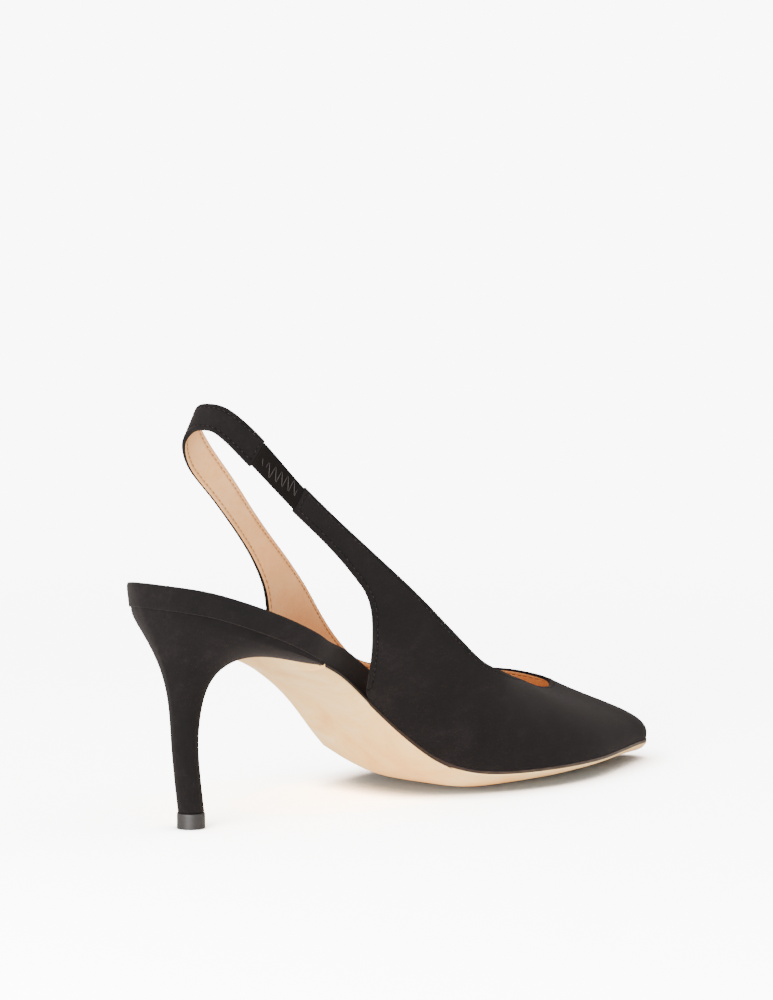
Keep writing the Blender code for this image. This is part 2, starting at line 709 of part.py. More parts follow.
def stem_outline(grow):
    """Section of the stem, round behind and flat in front, as two functions of the share of the way round."""
    radius = STEM_WIDTH / 2 + grow
    flat = math.acos(STEM_FLAT)

    def behind(share):
        angle = -flat - (2 * math.pi - 2 * flat) * share
        return Vector((HEEL_TIP_BACK + radius * math.cos(angle), radius * math.sin(angle), 0))

    def before(share):
        start, end = behind(1.0), behind(0.0)
        return start.lerp(end, share)

    return behind, before


def build_heel():
    behind, before = stem_outline(0.0)
    seat, wings = heel_stations()
    side = (seat + wings)[::-1]

    def at_edge(x, inner):
        return Vector((x, edge_y(x, inner, HEEL_INSET), joint_height(x)))

    def at_breast(x, inner):
        y = breast_half(x, inner)
        return Vector((x, -y if inner else y, joint_height(x)))

    back = Vector((HEEL_INSET, 0.0, joint_height(HEEL_INSET)))
    around = [at_edge(x, True) for x in side] + [back] + [at_edge(x, False) for x in reversed(side)]
    breast = [at_breast(x, False) for x in reversed(wings[1:])] + [at_breast(wings[0], False)]
    breast += [at_breast(x, True) for x in wings[1:]]
    run = [0.0]
    for a, b in zip(around, around[1:]):
        run.append(run[-1] + (b - a).length)
    partners = [behind(length / run[-1]) for length in run]
    span = breast[0].y - breast[-1].y
    partners += [before((breast[0].y - point.y) / span) for point in breast]
    outline = around + breast
    count = len(outline)
    foot = TOP_PIECE_HEIGHT + FIT_GAP
    behind_foot, before_foot = joint_height(0) - foot, joint_height(WING_LENGTH) - foot
    verts = []
    for level in HEEL_FLARE:
        for point, partner in zip(outline, partners):
            height = behind_foot * level.back * (1 - point.x / WING_LENGTH)
            height += before_foot * level.front * point.x / WING_LENGTH
            stem = partner - Vector((STEM_LEAN * level.lean, 0, 0))
            place = stem.lerp(Vector((point.x, point.y, 0)), level.out)
            verts.append((place.x, place.y, foot + height))
    verts += outline
    faces = tube_faces(count, len(HEEL_FLARE) + 1)
    faces.append(tuple(range(count)))
    top = len(HEEL_FLARE) * count
    sides = len(side)
    inner_row = [top + i for i in range(sides)]
    outer_row = [top + 2 * sides - i for i in range(sides)]
    middle = top + len(around) + len(wings) - 1
    split = len(wings) - 1
    faces.append((inner_row[-1], top + sides, outer_row[-1]))
    faces.append((inner_row[split], inner_row[split + 1], outer_row[split + 1], outer_row[split], middle))
    for i in range(split + 1, sides - 1):
        faces.append((inner_row[i], inner_row[i + 1], outer_row[i + 1], outer_row[i]))
    for k in range(split):
        i = split - k
        faces.append((inner_row[i], inner_row[i - 1], middle + k + 1, middle + k))
        faces.append((outer_row[i - 1], outer_row[i], middle - k, middle - k - 1))
    return new_object("heel", verts, faces, SUEDE)


def build_top_piece():
    behind = stem_outline(TOP_PIECE_LEDGE)[0]
    ring = [behind(k / RING_STEPS) for k in range(RING_STEPS + 1)]
    verts = [(p.x, p.y, z) for z in (0.0, TOP_PIECE_HEIGHT) for p in ring]
    faces = tube_faces(len(ring), 2)
    faces.append(tuple(range(len(ring))))
    faces.append(tuple(range(len(ring), 2 * len(ring))))
    return new_object("top_piece", verts, faces, RUBBER)


def centre_on_floor(objects):
    """Moves all pieces together, so that the origin lies on the floor under the middle of the shoe."""
    bpy.context.view_layer.update()
    xs = [corner[0] for piece in objects for corner in piece.bound_box]
    ys = [corner[1] for piece in objects for corner in piece.bound_box]
    shift = Vector(((min(xs) + max(xs)) / 2, (min(ys) + max(ys)) / 2, 0.0))
    for piece in objects:
        piece.location = -shift


def main():
    for old in list(bpy.data.objects):
        bpy.data.objects.remove(old, do_unlink=True)
    inner, outer = Half(-1), Half(1)
    centre_on_floor([
        build_upper(inner, outer),
        build_elastic(inner),
        build_seat_rim(),
        build_insole(),
        build_outsole(),
        build_heel(),
        build_top_piece(),
    ])


main()
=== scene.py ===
"""Looks of the slingback pump: suede, lining, sole leather, threads and a pale studio."""
import math
from collections import namedtuple

import bmesh
import bpy
from mathutils import Matrix, Vector, noise
from mathutils.bvhtree import BVHTree
from mathutils.kdtree import KDTree


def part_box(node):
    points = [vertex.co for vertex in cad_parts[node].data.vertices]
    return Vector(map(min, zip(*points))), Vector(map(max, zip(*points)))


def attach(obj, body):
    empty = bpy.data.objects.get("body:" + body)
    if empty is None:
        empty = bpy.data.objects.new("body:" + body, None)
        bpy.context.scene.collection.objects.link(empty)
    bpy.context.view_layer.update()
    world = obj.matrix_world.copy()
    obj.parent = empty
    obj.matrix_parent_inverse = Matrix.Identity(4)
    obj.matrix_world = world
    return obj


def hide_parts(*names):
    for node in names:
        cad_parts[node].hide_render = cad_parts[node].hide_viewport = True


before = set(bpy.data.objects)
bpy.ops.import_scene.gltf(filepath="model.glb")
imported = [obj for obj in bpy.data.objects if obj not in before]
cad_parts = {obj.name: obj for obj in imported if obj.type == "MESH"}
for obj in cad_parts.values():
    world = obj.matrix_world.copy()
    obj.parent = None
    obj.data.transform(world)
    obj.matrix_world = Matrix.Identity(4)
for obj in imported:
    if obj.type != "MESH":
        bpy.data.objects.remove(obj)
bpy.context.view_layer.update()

MM = 0.001

# Photograph's frame and the camera that took it
IMAGE_WIDTH = 773
IMAGE_HEIGHT = 1000
CAMERA_AZIMUTH = 47.5          # degrees that the view turns from the shoe's side to its back
CAMERA_ELEVATION = 5.2
CAMERA_DISTANCE = 1.3
FOCAL_PX = 3900
SENSOR = 36.0
HEEL_TIP_PX = (190, 828)       # where the heel's tip stands in the picture

# Studio: the camera sees the paper brighter than the paper lights the shoe, as in a lit cove
SKY = 1.0
PAPER = 0.85
BACKDROP = 9.0
FLOOR_BOOST = 6.6
FLOOR_GLOW = 1.1               # paper's colour for the light that it throws on the shoe, above 1, so that the paper glows a little and fills the arch with light from below
SHADE_REACH = 18 * MM
SHADE_COLOUR = (0.23, 0.30, 0.41, 1.0)   # contact shadow, cooler than the sole's light on it
FLOOR_RADIUS = 1.5
FLOOR_SCALE = 1.2              # the paper fades out over a ball of 1 m in radius, divided by this

Lamp = namedtuple("Lamp", "name place size power target")
LAMPS = (
    Lamp("top_left", (-1.3, -0.1, 1.0), (1.0, 1.0), 18, (0.0, 0.0, 0.05)),
    Lamp("top_right", (1.1, -0.5, 1.0), (1.0, 1.0), 6, (0.0, 0.0, 0.05)),
    Lamp("low_rear", (-1.1, -0.45, 0.14), (0.9, 0.24), 28, (0.0, 0.0, 0.03)),
)

# Reading the solids
MERGE_GAP = 0.02 * MM
QUAD_BEND = math.radians(35)   # two triangles that bend less than this become one face
QUAD_SHAPE = math.radians(75)
SHARP = math.radians(50)       # edges that bend more than this are rounded, and part two regions

# Edges
EDGE_ROUND = 0.45 * MM         # folded edges of suede
SOLE_ROUND = 0.25 * MM
RIM_ROUND = 0.65 * MM          # covered edge of the seat rim, a soft groove over the heel
FEATHER_DROP = 0.3 * MM        # upper and rim come down by the gap that the solids keep
FEATHER_EDGE = 0.5 * MM        # round lower corner of the sole's edge, scraped clean of ink
SHOULDER_LAP = 1.0 * MM        # sole's shoulders run back over the heel's wings by this
ELASTIC_REACH = 1.09           # the elastic's length and width, for its ends to go in under the suede

# Which way a face looks, by one part of its normal
FOOT_DOWN = -0.5               # z of the rim's foot
SOCK_UP = 0.4                  # z of the sock's leather side
TREAD_DOWN = -0.25             # z of the sole's tread
BREAST_BACK = -0.5             # x of the sole's rear end
FEATHER_LEVEL = 0.3            # z, up or down, of the upper's foot

# Threads and seams
STITCH_INSET = 1.5 * MM
STITCH_PITCH = 2.2 * MM
STITCH_LENGTH = 1.6 * MM
THREAD_RADIUS = 0.13 * MM
SINK_LENGTH = 3 * MM           # over which the outer stitches sink more or less deeply in the nap
OUTER_SINK = 0.1               # depth of the outer stitches' middle in the suede, in thread radii
INNER_RISE = 0.3               # height of the inner stitches' middle over the lining, in the same
ZIGZAG_RISE = 1.1              # height of the zigzag over the elastic, in the same
CORNER_ROOM = 0.75             # no stitch is nearer to another edge than this many insets
SKIN_STEP = 0.3 * MM           # rays to the lining start this far under the suede
LINING_DEPTH = 4 * MM          # and end here
GROOVE_HALF = 0.6              # mm, half width of the groove that the thread pulls
SOLE_REACH = 3.0 * MM          # no stitch is nearer to the sole than this
ZIGZAG_TEETH = 6
ZIGZAG_WIDTH = 5.8 * MM
ZIGZAG_MARGIN = 0.03           # of the elastic's length, free at each end
ELASTIC_END = 5 * MM           # length that counts as one end of the elastic
ELASTIC_TURN = math.radians(45)
RAY_START = 5 * MM             # rays to the elastic start this far out
RAY_LENGTH = 12 * MM

# Worked suede: how far it rises and falls over the last, and how long such a wave is
SUEDE_WAVE = 0.16 * MM
WAVE_LENGTH = 24 * MM
WAVE_FADE = 7.0                # mm from an edge over which the waves and creases come up
EDGE_SAMPLE = 0.4 * MM

# Soft troughs where the ball bends the vamp and the arch draws the quarters in, from end to end in mm
Crease = namedtuple("Crease", "start end width depth")
CREASES = (
    Crease((47, -31, 20), (66, -15, 31), 3.2, 0.22),
    Crease((57, -29, 17), (74, -12, 28), 3.0, 0.16),
    Crease((46, 32, 20), (64, 22, 30), 3.2, 0.20),
    Crease((56, 29, 18), (72, 16, 29), 3.0, 0.14),
    Crease((-12, -27, 40), (16, -35, 22), 4.5, 0.25),
    Crease((-12, 31, 42), (14, 36, 26), 4.5, 0.22),
)

WAVES_PER_UNIT = 20 / math.tau  # bands that a wave texture draws in a unit at scale 1


# Nodes

def linear(code):
    """Linear colour of an sRGB hex value."""
    parts = [int(code[i:i + 2], 16) / 255 for i in (1, 3, 5)]
    return [part / 12.92 if part <= 0.04045 else ((part + 0.055) / 1.055) ** 2.4 for part in parts] + [1.0]


def add(tree, kind, inputs=None, **settings):
    """Adds a node with its settings; an input is a value or another node's output."""
    made = tree.nodes.new(kind)
    for name, value in settings.items():
        setattr(made, name, value)
    for name, value in (inputs or {}).items():
        if isinstance(value, bpy.types.NodeSocket):
            tree.links.new(value, made.inputs[name])
        else:
            made.inputs[name].default_value = value
    return made


def new_material(name):
    """Empty material, its node tree and the object coordinates in it."""
    material = bpy.data.materials.new(name)
    material.use_nodes = True
    tree = material.node_tree
    tree.nodes.clear()
    place = add(tree, "ShaderNodeTexCoord").outputs["Object"]
    return material, tree, place


def finish_material(tree, inputs):
    shader = add(tree, "ShaderNodeBsdfPrincipled", inputs)
    add(tree, "ShaderNodeOutputMaterial", {"Surface": shader.outputs["BSDF"]})


def per_mm(size):
    """Texture scale that makes a pattern this many millimetres wide."""
    return 1 / (size * MM)


def grain(tree, vector, size, detail, roughness=0.5, distortion=0.0):
    """Noise of a size in mm."""
    return add(tree, "ShaderNodeTexNoise", {
        "Vector": vector,
        "Scale": per_mm(size),
        "Detail": detail,
        "Roughness": roughness,
        "Distortion": distortion,
    }).outputs["Fac"]


def bands(tree, vector, size, direction, distortion, detail):
    """Even bands of a size in mm."""
    return add(tree, "ShaderNodeTexWave", {
        "Vector": vector,
        "Scale": per_mm(size) / WAVES_PER_UNIT,
        "Distortion": distortion,
        "Detail": detail,
    }, bands_direction=direction).outputs["Fac"]


def spread(tree, value, low, high, to_low=0.0, to_high=1.0, kind="LINEAR"):
    """Value moved from one range to another, and held at its ends."""
    return add(tree, "ShaderNodeMapRange", {
        "Value": value,
        "From Min": low,
        "From Max": high,
        "To Min": to_low,
        "To Max": to_high,
    }, interpolation_type=kind).outputs["Result"]


def combined(tree, operation, *values):
    """Result of a maths node."""
    return add(tree, "ShaderNodeMath", dict(enumerate(values)), operation=operation).outputs[0]


def mixed(tree, factor, first, second):
    """Blend of two values or textures."""
    return add(tree, "ShaderNodeMix", {"Factor": factor, "A": first, "B": second}).outputs["Result"]


def blend(tree, factor, first, second, how="MIX"):
    """Blend of two colours, each a value or another node's output."""
    return add(tree, "ShaderNodeMix", {0: factor, 6: first, 7: second}, data_type="RGBA",
               blend_type=how).outputs[2]


def ramp(tree, factor, *stops):
    """Colour ramp with stops of a place and a hex colour."""
    made = add(tree, "ShaderNodeValToRGB", {"Fac": factor})
    elements = made.color_ramp.elements
    while len(elements) < len(stops):
        elements.new(0.5)
    for element, (place, code) in zip(elements, stops):
        element.position = place
        element.color = linear(code)
    return made.outputs["Color"]


def relief(tree, height, strength, depth):
    """Normal of a surface that rises with the height."""
    return add(tree, "ShaderNodeBump", {
        "Height": height,
        "Strength": strength,
        "Distance": depth,
    }).outputs["Normal"]


def sunk_with_painted_shade(tree, mask, colour, normal, code, strength, depth):
    """Colour and normal, darkened by a hex colour as painted shade in the hollow, and sunk where the mask
    is 1.
    """
    colour = blend(tree, mask, colour, linear(code), "MULTIPLY")
    normal = add(tree, "ShaderNodeBump", {
        "Height": mask,
        "Strength": strength,
        "Distance": depth,
        "Normal": normal,
    }, invert=True).outputs["Normal"]
    return colour, normal


def stitch_groove(tree):
    """1 in the groove along a sewn edge, falling to 0 on both sides, from the distance kept in mm."""
    distance = add(tree, "ShaderNodeAttribute", attribute_name="from_edge").outputs["Fac"]
    row = STITCH_INSET / MM
    outside = spread(tree, distance, row - GROOVE_HALF, row, kind="SMOOTHSTEP")
    inside = spread(tree, distance, row, row + GROOVE_HALF, 1.0, 0.0, "SMOOTHSTEP")
    return combined(tree, "MINIMUM", outside, inside)


def cover_seam(tree, place, seam_y):
    """1 on the closed seam of the heel's cover, down the middle of the breast, and 0 elsewhere."""
    across = add(tree, "ShaderNodeSeparateXYZ", {"Vector": place}).outputs["Y"]
    far = combined(tree, "ABSOLUTE", combined(tree, "SUBTRACT", across, seam_y))
    line = spread(tree, far, 0.0, 0.35 * MM, 1.0, 0.0, "SMOOTHSTEP")
    normal = add(tree, "ShaderNodeNewGeometry").outputs["Normal"]
    forward = add(tree, "ShaderNodeSeparateXYZ", {"Vector": normal}).outputs["X"]
    return combined(tree, "MULTIPLY", line, spread(tree, forward, 0.2, 0.5))


# Materials

def goat_suede(name, dark, middle, light, sewn=False, seam_y=None):
    """Black kid suede, dyed through and brushed: dead matt, with strokes of the nap that catch light."""
    material, tree, place = new_material(name)
    clouds = grain(tree, place, 15, 4.0, 0.6, 0.8)
    brushed = add(tree, "ShaderNodeMapping", {
        "Vector": place,
        "Rotation": (0.0, 0.6, 0.0),
        "Scale": (0.35, 1.0, 1.0),
    }).outputs["Vector"]
    strokes = grain(tree, brushed, 2.4, 5.0, 0.7)
    nap = grain(tree, place, 0.5, 3.0, 0.75)
    tone = mixed(tree, 0.30, mixed(tree, 0.40, clouds, strokes), nap)
    colour = ramp(tree, tone, (0.30, dark), (0.52, middle), (0.72, light))
    normal = relief(tree, mixed(tree, 0.30, nap, strokes), 0.5, 0.22 * MM)
    if sewn:
        # the stitch groove's darker colour is painted shade
        colour, normal = sunk_with_painted_shade(tree, stitch_groove(tree), colour, normal, "#9a9696", 0.9, 0.22 * MM)
    if seam_y is not None:
        seam = cover_seam(tree, place, seam_y)
        # the seam's darker line is painted shade in its hollow
        colour, normal = sunk_with_painted_shade(tree, seam, colour, normal, "#6a6464", 0.9, 0.25 * MM)
    finish_material(tree, {
        "Base Color": colour,
        "Roughness": 0.97,
        "Specular IOR Level": 0.12,
        "Sheen Weight": 0.07,
        "Sheen Roughness": 0.5,
        "Sheen Tint": linear("#c9b8b0"),
        "Normal": normal,
    })
    return material


def lining_leather(name, dark, middle, light, sewn=False):
    """Goat lining, glazed lightly: fine pores, a soft satin and an uneven tan."""
    material, tree, place = new_material(name)
    clouds = grain(tree, place, 22, 5.0, 0.6)
    fibres = grain(tree, place, 1.2, 4.0, 0.7)
    colour = ramp(tree, mixed(tree, 0.3, clouds, fibres), (0.30, dark), (0.5, middle), (0.70, light))
    pores = add(tree, "ShaderNodeTexVoronoi", {"Vector": place, "Scale": per_mm(0.8)},
                feature="DISTANCE_TO_EDGE").outputs["Distance"]
    normal = relief(tree, mixed(tree, 0.4, pores, fibres), 0.3, 0.12 * MM)
    if sewn:
        # the stitch groove's darker colour is painted shade
        colour, normal = sunk_with_painted_shade(tree, stitch_groove(tree), colour, normal, "#f4ebe2", 0.8, 0.2 * MM)
    finish_material(tree, {
        "Base Color": colour,
        "Roughness": 0.62,
        "Specular IOR Level": 0.22,
        "Normal": normal,
    })
    return material


def sole_leather():
    """Oak-bark sole leather, rolled and waxed: pale, smooth, faintly blotched, with a low satin."""
    material, tree, place = new_material("rolled_sole_leather")
    clouds = grain(tree, place, 26, 6.0, 0.62, 0.8)
    fibres = grain(tree, place, 1.4, 4.0, 0.7)
    tone = mixed(tree, 0.15, clouds, fibres)
    finish_material(tree, {
        "Base Color": ramp(tree, tone, (0.30, "#f2b266"), (0.46, "#fecb7e"), (0.68, "#ffe1a6")),
        "Roughness": spread(tree, clouds, 0.3, 0.7, 0.46, 0.60),
        "Specular IOR Level": 0.2,
        "Normal": relief(tree, fibres, 0.2, 0.1 * MM),
    })
    return material


def edge_ink():
    """Cut leather edge, inked dark brown: even, with laid fibres, and painted paler towards the toe as a
    highlight.
    """
    material, tree, place = new_material("inked_leather_edge")
    layers = add(tree, "ShaderNodeMapping", {"Vector": place, "Scale": (0.2, 0.2, 2.0)}).outputs["Vector"]
    fibres = grain(tree, layers, 1.0, 3.0, 0.6)
    forward = add(tree, "ShaderNodeSeparateXYZ", {"Vector": place}).outputs["X"]
    # the paler colour towards the toe is a painted highlight
    highlight_towards_toe = spread(tree, forward, 0.0, 90 * MM)
    rear = ramp(tree, fibres, (0.3, "#221813"), (0.7, "#382a22"))
    front = ramp(tree, fibres, (0.3, "#40352d"), (0.7, "#5f5247"))
    finish_material(tree, {
        "Base Color": blend(tree, highlight_towards_toe, rear, front),
        "Roughness": 0.6,
        "Specular IOR Level": 0.2,
        "Normal": relief(tree, fibres, 0.25, 0.08 * MM),
    })
    return material


def woven_elastic():
    """Woven gore elastic: rubber cores under black yarn, so fine ribs run along the strip."""
    material, tree, place = new_material("woven_gore_elastic")
    laid = add(tree, "ShaderNodeMapping", {
        "Vector": place,
        "Rotation": (0.0, ELASTIC_TURN, 0.0),
    }).outputs["Vector"]
    ribs = bands(tree, laid, 0.7, "Z", 0.5, 1.0)
    picks = bands(tree, laid, 0.6, "X", 0.8, 1.0)
    weave = mixed(tree, 0.35, ribs, picks)
    finish_material(tree, {
        "Base Color": ramp(tree, weave, (0.2, "#0b0908"), (0.8, "#191513")),
        "Roughness": 0.9,
        "Specular IOR Level": 0.08,
        "Normal": relief(tree, weave, 0.45, 0.12 * MM),
    })
    return material


def heel_rubber():
    """Hard moulded heel rubber: dark grey, with a fine mould grain that scatters the light."""
    material, tree, place = new_material("moulded_heel_rubber")
    pits = grain(tree, place, 0.35, 3.0, 0.6)
    clouds = grain(tree, place, 5, 3.0)
    finish_material(tree, {
        "Base Color": ramp(tree, mixed(tree, 0.4, pits, clouds), (0.3, "#1e1b19"), (0.7, "#2a2624")),
        "Roughness": 0.5,
        "Specular IOR Level": 0.4,
        "Normal": relief(tree, pits, 0.25, 0.05 * MM),
    })
    return material


def sewing_thread(name, dark, light):
    """Twisted polyester thread: each stitch shows its ply as fine slanting bands."""
    material, tree, place = new_material(name)
    ply = bands(tree, place, 0.35, "DIAGONAL", 1.5, 2.0)
    finish_material(tree, {
        "Base Color": ramp(tree, ply, (0.2, dark), (0.8, light)),
        "Roughness": 0.8,
        "Specular IOR Level": 0.1,
    })
    return material


# Reading and shaping the solids

def cage(node):
    """Merged copy of a node's mesh, back in four-sided faces where they lie even."""
    made = bmesh.new()
    made.from_mesh(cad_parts[node].data)
    bmesh.ops.remove_doubles(made, verts=made.verts, dist=MERGE_GAP)
    bmesh.ops.join_triangles(made, faces=made.faces, angle_face_threshold=QUAD_BEND,
                             angle_shape_threshold=QUAD_SHAPE, topology_influence=1.0)
    made.verts.index_update()
    return made


def regions(made):
    """Groups of faces between sharp edges, the largest first."""
    left = set(made.faces)
    groups = []
    while left:
        start = left.pop()
        group, queue = [start], [start]
        while queue:
            for edge in queue.pop().edges:
                if len(edge.link_faces) == 2 and edge.calc_face_angle() < SHARP:
                    for face in edge.link_faces:
                        if face in left:
                            left.remove(face)
                            group.append(face)
                            queue.append(face)
        groups.append(group)
    return sorted(groups, key=lambda group: -sum(face.calc_area() for face in group))


def rim_loop(group):
    """Points round the edge of a group of faces, from its first vertex on, each with its face's normal."""
    inside = set(group)
    after = {}
    for face in group:
        for loop in face.loops:
            if not any(other in inside for other in loop.edge.link_faces if other is not face):
                after[loop.vert] = (loop.link_loop_next.vert, face.normal.copy())
    start = here = min(after, key=lambda vert: vert.index)
    points = []
    while not points or here is not start:
        following, normal = after[here]
        points.append((here.co.copy(), normal))
        here = following
    return points


def round_edges(made, edges, offset):
    return bmesh.ops.bevel(made, geom=edges, offset=offset, affect="EDGES", segments=2, profile=0.5,
                           material=-1, clamp_overlap=True)


def soften(made, offset):
    """Rounds every sharp edge a little."""
    round_edges(made, [edge for edge in made.edges if edge.calc_face_angle(0) > SHARP], offset)


def link(name, data):
    """New object in the scene, at the origin."""
    made = bpy.data.objects.new(name, data)
    bpy.context.scene.collection.objects.link(made)
    return made


def mesh_of(made, name, *materials):
    """Mesh with its materials from a shape that is then done with."""
    mesh = bpy.data.meshes.new(name)
    made.to_mesh(mesh)
    made.free()
    for material in materials:
        mesh.materials.append(material)
    return mesh


def dress(made, name, node, materials, levels):
    """Turns the shaped mesh into a piece, and hides the node that it takes the place of, if one is named.
    """
    mesh = mesh_of(made, name, *materials)
    mesh.shade_smooth()
    piece = link(name, mesh)
    if levels:
        smooth = piece.modifiers.new("smooth", "SUBSURF")
        smooth.levels = levels
        smooth.render_levels = levels
    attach(piece, "root")
    if node:
        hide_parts(node)
    return piece


def side_tree(mesh, index):
    """Search tree over the faces that have one of a mesh's materials."""
    faces = [list(face.vertices) for face in mesh.polygons if face.material_index == index]
    return BVHTree.FromPolygons([vert.co for vert in mesh.vertices], faces)


def bake(piece):
    """Keeps the subdivided surface as the piece's own mesh, so that it can be shaped further."""
    bpy.context.view_layer.update()
    fine = bpy.data.meshes.new_from_object(piece.evaluated_get(bpy.context.evaluated_depsgraph_get()))
    piece.modifiers.clear()
    piece.data = fine


def solid_tree(node):
    """Search tree over a CAD node."""
    made = bmesh.new()
    made.from_mesh(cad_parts[node].data)
    tree = BVHTree.FromBMesh(made)
    made.free()
    return tree


def crease_depth(spot):
    """How deep the soft troughs are at a point."""
    depth = 0.0
    for crease in CREASES:
        start, end = Vector(crease.start) * MM, Vector(crease.end) * MM
        run = end - start
        share = (spot - start).dot(run) / run.length_squared
        gap = (spot - start.lerp(end, min(max(share, 0.0), 1.0))).length / (crease.width * MM)
        depth += crease.depth * MM * math.exp(-gap * gap)
    return depth


def even_points(points, step):
    """Closed run of points at even steps, each with its direction and the normal beside it."""
    made = []
    carry = 0.0
    for (a, normal), (b, other) in zip(points, points[1:] + points[:1]):
        span = (b - a).length
        if span == 0:
            continue
        along = (b - a) / span
        while carry < span:
            made.append((a + along * carry, along, normal.lerp(other, carry / span).normalized()))
            carry += step
        carry -= span
    return made


def work_suede(piece, loops, sole):
    """Waves the leather a little, presses the troughs in, and marks how far each point is from an edge."""
    marks = [point for loop in loops for point, along, normal in even_points(loop, EDGE_SAMPLE)]
    marks = [point for point in marks if sole.find_nearest(point)[3] > SOLE_REACH]
    edges = KDTree(len(marks))
    for index, point in enumerate(marks):
        edges.insert(point, index)
    edges.balance()
    mesh = piece.data
    lining = {index for face in mesh.polygons if face.material_index == 1 for index in face.vertices}
    away = [edges.find(vert.co)[2] / MM for vert in mesh.vertices]
    moves = []
    for vert, gap in zip(mesh.vertices, away):
        fade = min(gap, sole.find_nearest(vert.co)[3] / MM, WAVE_FADE) / WAVE_FADE
        rise = noise.noise(vert.co / WAVE_LENGTH) * SUEDE_WAVE - crease_depth(vert.co)
        side = -1 if vert.index in lining else 1
        moves.append(vert.normal * side * rise * fade * fade * (3 - 2 * fade))
    for vert, move in zip(mesh.vertices, moves):
        vert.co += move
    mesh.attributes.new("from_edge", "FLOAT", "POINT").data.foreach_set("value", away)


# Pieces

def upper_piece(suede, lining):
    """Suede outside and lining inside, with its foot brought down on the sole."""
    made = cage("upper")
    groups = regions(made)
    outer_loop, inner_loop = rim_loop(groups[0]), rim_loop(groups[1])
    for face in groups[1]:
        face.material_index = 1
    sole = solid_tree("outsole")
    for vert in made.verts:
        if sole.find_nearest(vert.co)[3] < 2 * FEATHER_DROP and abs(vert.normal.z) > FEATHER_LEVEL:
            vert.co.z -= FEATHER_DROP
    soften(made, EDGE_ROUND)
    piece = dress(made, "suede_upper", "upper", (suede, lining), 2)
    bake(piece)
    work_suede(piece, (outer_loop, inner_loop), sole)
    return piece, outer_loop


def elastic_piece(material):
    """The strip goes on into the strap and the quarter at its ends."""
    made = cage("elastic")
    low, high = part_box("elastic")
    middle = (low + high) / 2
    bmesh.ops.scale(made, verts=made.verts, vec=(ELASTIC_REACH, 1.0, ELASTIC_REACH),
                    space=Matrix.Translation(-middle))
    return dress(made, "gore_elastic", "elastic", (material,), 1)


def rim_piece(suede):
    """The rim is glued down on the heel and the sole, so its foot closes the gap that the solids keep."""
    made = cage("seat_rim")
    foot = {vert for face in made.faces if face.normal.z < FOOT_DOWN for vert in face.verts}
    for vert in foot:
        vert.co.z -= FEATHER_DROP
    soften(made, RIM_ROUND)
    dress(made, "suede_seat_rim", "seat_rim", (suede,), 2)


def sock_piece(leather, suede):
    """Leather above, and suede round the board below it, as seen through the gap over the heel."""
    made = cage("insole")
    for face in made.faces:
        if face.normal.z < SOCK_UP:
            face.material_index = 1
    soften(made, EDGE_ROUND)
    dress(made, "leather_sock", "insole", (leather, suede), 2)


def plain_piece(name, node, material, rounding, levels):
    """A solid as it is, with its edges rounded."""
    made = cage(node)
    soften(made, rounding)
    dress(made, name, node, (material,), levels)


def sole_piece(leather, ink):
    """The edge is inked down to a round lower corner; the rear end between the heel's wings stays pale."""
    made = cage("outsole")
    wing_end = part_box("heel")[1].x
    for vert in made.verts:
        if abs(vert.co.x - wing_end) < SHOULDER_LAP:
            vert.co.x -= SHOULDER_LAP
    for face in made.faces:
        rear_end = face.normal.x < BREAST_BACK and face.calc_center_median().x < 0
        if face.normal.z > TREAD_DOWN and not rear_end:
            face.material_index = 1
    lower = [edge for edge in made.edges
             if {face.material_index for face in edge.link_faces} == {0, 1}
             and min(face.normal.x for face in edge.link_faces) > BREAST_BACK]
    for face in round_edges(made, lower, FEATHER_EDGE)["faces"]:
        face.material_index = 0
    soften(made, SOLE_ROUND)
    dress(made, "leather_sole", "outsole", (leather, ink), 2)


# Threads

def thread_stitch(made, start, end, normal):
    """One stitch: a slim bead of thread that sinks into the leather at both ends."""
    along = end - start
    length = along.length
    along.normalize()
    side = normal.cross(along).normalized()
    up = along.cross(side)
    turn = Matrix((along, side, up)).transposed().to_4x4()
    bead = Matrix.Diagonal((length / 2, THREAD_RADIUS, THREAD_RADIUS, 1.0))
    place = Matrix.Translation((start + end) / 2) @ turn @ bead
    bmesh.ops.create_uvsphere(made, u_segments=6, v_segments=5, radius=1.0, matrix=place)


def stitch_rows(upper, edge_loop, outer_thread, inner_thread):
    """Lockstitch along the topline and the strap, seen outside in black and inside in tan."""
    suede, lining = side_tree(upper.data, 0), side_tree(upper.data, 1)
    sole = solid_tree("outsole")
    outside, inside = bmesh.new(), bmesh.new()
    ring = even_points(edge_loop, STITCH_PITCH)
    for point, along, normal in ring:
        if sole.find_nearest(point)[3] < SOLE_REACH:
            continue
        into = normal.cross(along).normalized()
        spot, up = suede.find_nearest(point + into * STITCH_INSET)[:2]
        if min((spot - other).length for other, _, _ in ring) < CORNER_ROOM * STITCH_INSET:
            continue
        half = along * STITCH_LENGTH / 2
        half -= up * half.dot(up)
        raised = spot + up * THREAD_RADIUS * (noise.noise(point / SINK_LENGTH) - OUTER_SINK)
        thread_stitch(outside, raised - half, raised + half, up)
        back = lining.ray_cast(spot - up * SKIN_STEP, -up, LINING_DEPTH)[0]
        if back is not None:
            raised = back - up * THREAD_RADIUS * INNER_RISE
            thread_stitch(inside, raised - half, raised + half, -up)
    for made, name, thread in (
        (outside, "edge_stitching", outer_thread),
        (inside, "lining_stitching", inner_thread),
    ):
        piece = dress(made, name, None, (thread,), 0)


